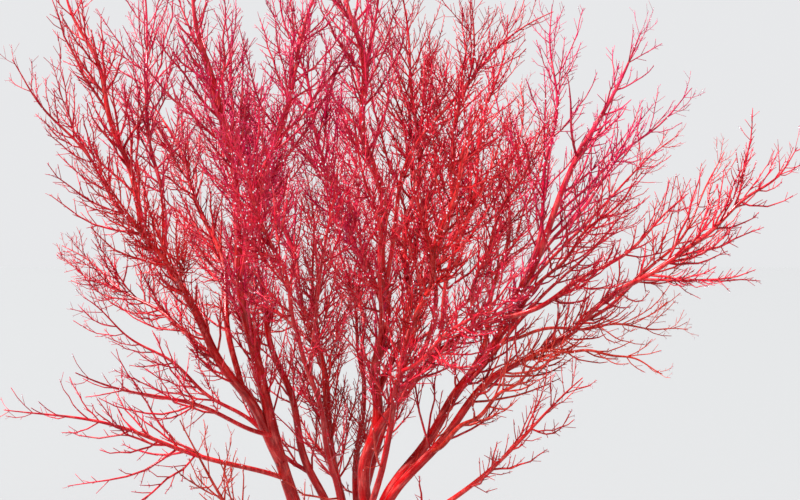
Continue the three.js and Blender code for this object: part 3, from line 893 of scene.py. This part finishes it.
def bark(name, group, place, twig, shoot, wood):
    """A wet bark in these colours. place is grain or object, where the pattern's coordinates come from."""
    material, tree, surface = surface_of(name)
    if place == "grain":
        spot = node(tree, "Attribute", attribute_name="grain").outputs["Vector"]
    else:
        spot = node(tree, "TexCoord").outputs["Object"]
    age = node(tree, "Attribute", attribute_name="age").outputs["Fac"]
    inside = tree.nodes.new("ShaderNodeGroup")
    inside.node_tree = group
    for socket, colour in (("Twig", twig), ("Shoot", shoot), ("Wood", wood), ("Old", OLD), ("Light", SPECK_AND_PAINTED_HIGHLIGHT)):
        inside.inputs[socket].default_value = shade(*colour)
    tree.links.new(spot, inside.inputs["Place"])
    tree.links.new(age, inside.inputs["Age"])
    for source, target in (("Color", "Base Color"), ("Roughness", "Roughness"), ("Wet", "Coat Weight"),
                           ("Normal", "Normal")):
        tree.links.new(inside.outputs[source], surface.inputs[target])
    surface.inputs["Coat Roughness"].default_value = 0.18
    surface.inputs["Specular IOR Level"].default_value = 0.14
    return material


def speckled(name, first, second, scale, roughness):
    """Two colours in small patches, for buds and drops."""
    material, tree, surface = surface_of(name)
    spot = node(tree, "TexCoord").outputs["Object"]
    patches = node(tree, "TexNoise", {"Vector": spot, "Scale": scale, "Detail": 2.0}).outputs["Fac"]
    colour = mix(tree, ramp(tree, patches, (0.42, 0), (0.58, 1)), shade(*first), shade(*second))
    tree.links.new(colour, surface.inputs["Base Color"])
    surface.inputs["Roughness"].default_value = roughness
    return material, surface


# The tree

# The colours of twigs, shoots and wood in each tint, and the tints of sprays by the height of their bend
TINTS = {
    "coral": ((248, 50, 90), (242, 42, 60), (234, 38, 32)),
    "crimson": ((232, 26, 66), (226, 24, 44), (218, 26, 26)),
    "scarlet": ((240, 44, 62), (236, 40, 42), (228, 40, 30)),
    "magenta": ((248, 54, 126), (244, 42, 92), (230, 32, 40)),
    "rose": ((250, 70, 120), (246, 54, 88), (234, 38, 38)),
    "orange": ((242, 78, 64), (236, 62, 46), (230, 48, 30)),
}
LOW_TINTS = ("orange", "coral", "scarlet")
MIDDLE_TINTS = ("coral", "scarlet", "crimson")
HIGH_TINTS = ("magenta", "rose", "coral")
TINT_HEIGHTS = (2.2, 2.9)

# How many points of a shoot or twig are tested for room
SHOOT_TESTS = 24
SIDE_SHOOT_TESTS = 12
TWIG_TESTS = 3

# Tubes: sides, rings of a long one, rings of a short one, and the length from which one is long
STEM_TUBE = (8, 80)
SHOOT_TUBE = (4, 7, 4, 0.25)
TWIG_TUBE = (3, 3, 2, 0.11)

# These shares of the buds on twigs and stems are missing, and stems have none up to STEM_BUDS_FROM. These
# shares of twigs and spurs have one at their end, with the length and radius of END_BUD.
NO_TWIG_BUD = 0.85
NO_STEM_BUD = 0.5
STEM_BUDS_FROM = 0.55
TWIG_ENDS = 0.4
SPUR_ENDS = 0.12
BUD_RADIUS = 0.0019
END_BUD = (0.007, 0.0020)

# Raindrops: their share of buds and of ends, their radii, and their length for each radius
DROPS_AT_BUDS = 0.36
DROPS_AT_ENDS = 0.60
DROP_RADII = (0.0030, 0.0048)
DROP_LENGTH = 2.3
SEED = 11


def piece(mesh, material, slot, *nodes):
    made = placed(mesh.name, mesh)
    mesh.materials.append(material)
    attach(made, "root")
    if nodes:
        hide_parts(*nodes)


def tint_of(limbs, number):
    """High sprays are pinker, and low ones more orange or crimson."""
    level, chance = limbs.bend[number][2], float(draw(limbs.seed[number], TINT_DRAW))
    middle, high = TINT_HEIGHTS
    tints = HIGH_TINTS if level > high else MIDDLE_TINTS if level > middle else LOW_TINTS
    return tints[int(chance * len(tints))]


def in_shade(foot):
    """The share of a bough's shoots that is missing at each foot."""
    low, high = SHADE_HEIGHTS
    return SHADED * np.clip((high - foot[:, 2]) / (high - low), 0, 1)


def at_top(foot):
    """The share of the shoots that is missing high in the crown, at each foot."""
    low, high = TOP_HEIGHTS
    return TOP_THINNED * np.clip((foot[:, 2] - TOP_SLOPE * foot[:, 0] - low) / (high - low), 0, 1)


def grow_shoots(limbs, own, bough_numbers, stems, boughs, scarce):
    """The shoots on the sprays' stems and on the boughs. scarce is the share missing in each spray."""
    kept = branch(own, STEM_HABIT, own.bare, bears=lambda node: node % KEPT_EVERY == 1)
    kept = kept.only(fitting(kept, stems, boughs, SHOOT_TESTS))
    between = branch(own, BETWEEN_HABIT, own.bare * STILL_BARE, bears=lambda node: node % KEPT_EVERY != 1,
                     thinned=lambda which, foot: np.maximum(scarce[which], at_top(foot)))
    between = cut_to_fit(between, stems, boughs, SHOOT_TESTS)
    bearing = limbs.only(np.array(bough_numbers[1:]))
    bearing.owner = np.arange(1, bearing.count + 1)
    thin = np.array([THIN_BOUGHS.get(limbs.names[number], 0.0) for number in bough_numbers[1:]])
    beside = branch(bearing, BOUGH_HABIT, draws=SIDE_SHOOT_DRAWS,
                    thinned=lambda which, foot: np.maximum(thin[which], in_shade(foot)))
    beside = cut_to_fit(beside, stems, boughs, SIDE_SHOOT_TESTS, on_boughs=True)
    beside.owner = nearest((beside.foot + beside.tip) / 2, stems).argmin(axis=1)
    return joined([kept, between, beside])


def grow_tree():
    limbs = plant_limbs()
    bough_numbers = [number for number in range(limbs.count) if limbs.bare[number] == 1]
    stem_numbers = [number for number in range(limbs.count) if limbs.bare[number] < 1]
    boughs = sampled(limbs, bough_numbers, LIMB_STEP)
    stems = sampled(limbs, stem_numbers, LIMB_STEP)
    own = limbs.only(np.array(stem_numbers))
    own.owner = np.arange(own.count)
    own.bare = limbs.bare[stem_numbers]
    clear = [row[7] if len(row) > 7 else 0.0 for row in SPRAYS]
    scarce = np.maximum(np.where(own.tip[:, 2] < LOW_TIP, LOW_THINNED, 0.0), clear)

    shoots = grow_shoots(limbs, own, bough_numbers, stems, boughs, scarce)
    twigs = branch(shoots, SHOOT_HABIT, thinned=lambda which, foot: np.maximum(
        LOW_TWIGS * scarce[shoots.owner[which]], TOP_TWIGS * at_top(foot)))
    twigs = twigs.only(fitting(twigs, stems, boughs, TWIG_TESTS))
    spurs = branch(twigs, SPUR_HABIT)

    group = wet_bark_group()
    grow_limbs(limbs, bough_numbers, stem_numbers, group)
    tints = [tint_of(limbs, number) for number in stem_numbers]
    spur = template_of(bmesh.ops.create_cone, lambda co: co + Vector((0, 0, 0.5)), segments=3, radius1=1,
                       radius2=0, depth=1, cap_ends=True)
    for tint, colours in TINTS.items():
        mine = [i for i, other in enumerate(tints) if other == tint]
        pile = Pile()
        heap_tubes(pile, own.only(np.array(mine)), *STEM_TUBE)
        for batch, (sides, long_rings, short_rings, limit) in ((shoots, SHOOT_TUBE), (twigs, TWIG_TUBE)):
            here = batch.only(np.isin(batch.owner, mine))
            heap_tubes(pile, here.only(here.size >= limit), sides, long_rings)
            heap_tubes(pile, here.only(here.size < limit), sides, short_rings)
        here = spurs.only(np.isin(spurs.owner, mine))
        heap_copies(pile, spur, here.foot, here.tip - here.foot, here.size, here.foot_radius)
        finish = bark(tint + "_bark", group, "object", *colours)
        nodes = [limbs.names[stem_numbers[i]] + "_twigs" for i in mine]
        piece(pile.mesh(tint + "_twigs"), finish, "twig_bark", *nodes)
    grow_buds_and_drops(own, shoots, twigs, spurs)


def grow_limbs(limbs, bough_numbers, stem_numbers, group):
    thick = bark("old_bark", group, "grain", *THICK_BARK)
    thin = bark("young_bark", group, "grain", *THIN_BARK)
    starts = {number: clear_share(limbs, number) for number in bough_numbers[1:] + stem_numbers
              if limbs.parents[number] == "trunk"}
    piece(trunk_mesh(limbs, starts), thick, "old_bark", "trunk")
    for number in bough_numbers[1:]:
        sides, finish, slot = THIN_SIDES, thin, "young_bark"
        if limbs.foot_radius[number] > THICK + 1e-6:
            sides, finish, slot = THICK_SIDES, thick, "old_bark"
        mesh = bough_mesh(limbs, number, starts.get(number, 0.0), sides)
        piece(mesh, finish, slot, limbs.names[number])


def bud_shape(co):
    return Vector((co.x, co.y, {-1: 0, 0: 0.4, 1: 1}[round(co.z)]))


def drop_shape(co):
    wide = 0.8 + 0.2 * co.z
    return Vector((co.x * wide, co.y * wide, (co.z + 1) / 2))


def grow_buds_and_drops(own, shoots, twigs, spurs):
    rng = np.random.default_rng(SEED)
    ball = bmesh.ops.create_uvsphere
    bud = template_of(ball, bud_shape, u_segments=3, v_segments=2, radius=1)
    drop = template_of(ball, drop_shape, u_segments=4, v_segments=3, radius=1)
    on_shoots = branch(shoots, BUD_HABIT, draws=BUD_DRAWS)
    on_twigs = branch(twigs, dict(BUD_HABIT, missing=NO_TWIG_BUD), draws=BUD_DRAWS)
    bare = np.maximum(own.bare, STEM_BUDS_FROM)
    on_stems = branch(own, dict(BUD_HABIT, missing=NO_STEM_BUD), bare, draws=BUD_DRAWS)
    buds = joined([on_shoots, on_twigs, on_stems])
    twig_ends = twigs.only(rng.random(twigs.count) < TWIG_ENDS)
    ends = joined([shoots, twig_ends, spurs.only(rng.random(spurs.count) < SPUR_ENDS)])
    every = np.arange(ends.count)
    tips, headings = ends.places(every, np.ones(ends.count)), ends.headings(every, np.ones(ends.count))
    pile = Pile()
    wide = np.full(buds.count, BUD_RADIUS)
    heap_copies(pile, bud, buds.foot, buds.tip - buds.foot, buds.size, wide)
    long, wide = (np.full(ends.count, size) for size in END_BUD)
    heap_copies(pile, bud, tips - headings * MM, headings, long, wide)
    scales, _ = speckled("bud_scales", (150, 20, 44), (214, 66, 96), 60.0, 0.45)
    piece(pile.mesh("buds"), scales, "twig_bark")

    under_buds = buds.foot[rng.random(buds.count) < DROPS_AT_BUDS]
    under_tips = tips[rng.random(ends.count) < DROPS_AT_ENDS]
    places = np.concatenate([under_buds, under_tips])
    wide = rng.uniform(*DROP_RADII, len(places))
    pile = Pile()
    down = np.tile(-UP, (len(places), 1))
    heap_copies(pile, drop, places - UP * MM, down, wide * DROP_LENGTH, wide)
    # The drops are near-white and let little light through: a painted glint on clear water
    glint_painted_water, surface = speckled("rain_water_painted_glint", (236, 232, 246), (250, 250, 255), 25.0, 0.06)
    surface.inputs["Transmission Weight"].default_value = 0.14
    surface.inputs["IOR"].default_value = 1.33
    piece(pile.mesh("raindrops"), glint_painted_water, "twig_bark")


# Floor, light and camera

FLOOR_RADIUS = 150
FLOOR_COLOUR = (156, 157, 158)
SKY_COLOUR = (240, 241, 243)
SKY_LIGHT = 0.28
SKY_SEEN = 0.92
LIGHTS = {"key": ((-5.2, -2.2, 7.6), 10, 8.0), "fill": ((6.0, -6.0, 4.0), 60, 0.5)}
CAMERA_PLACE = (0.3575, -6.5, 2.535)


def set_stage():
    bm = bmesh.new()
    bmesh.ops.create_circle(bm, cap_ends=True, segments=96, radius=FLOOR_RADIUS)
    mesh = bpy.data.meshes.new("floor")
    bm.to_mesh(mesh)
    bm.free()
    floor = placed("floor", mesh)
    paint, _, surface = surface_of("floor_paint")
    surface.inputs["Base Color"].default_value = shade(*FLOOR_COLOUR)
    surface.inputs["Roughness"].default_value = 0.9
    mesh.materials.append(paint)
    world = bpy.context.scene.world or bpy.data.worlds.new("studio")
    bpy.context.scene.world = world
    world.use_nodes = True
    tree = world.node_tree
    background = tree.nodes["Background"]
    background.inputs["Color"].default_value = shade(*SKY_COLOUR)
    seen = node(tree, "LightPath").outputs["Is Camera Ray"]
    strength = node(tree, "MapRange", {"Value": seen, "To Min": SKY_LIGHT, "To Max": SKY_SEEN})
    tree.links.new(strength.outputs["Result"], background.inputs["Strength"])
    for name, (place, spread, power) in LIGHTS.items():
        light = bpy.data.lights.new(name, "SUN")
        light.energy, light.angle = power, math.radians(spread)
        lamp = placed(name, light)
        lamp.location = place
        lamp.rotation_euler = Vector(place).to_track_quat("Z", "Y").to_euler()
    camera = placed("camera", bpy.data.cameras.new("camera"))
    camera.data.lens, camera.data.sensor_width = 45, 36
    camera.data.clip_end = 400
    camera.location = CAMERA_PLACE
    camera.rotation_euler = (math.pi / 2, 0, 0)
    bpy.context.scene.camera = camera
    bpy.context.scene.view_settings.view_transform = "Standard"


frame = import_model()
set_stage()
grow_tree()
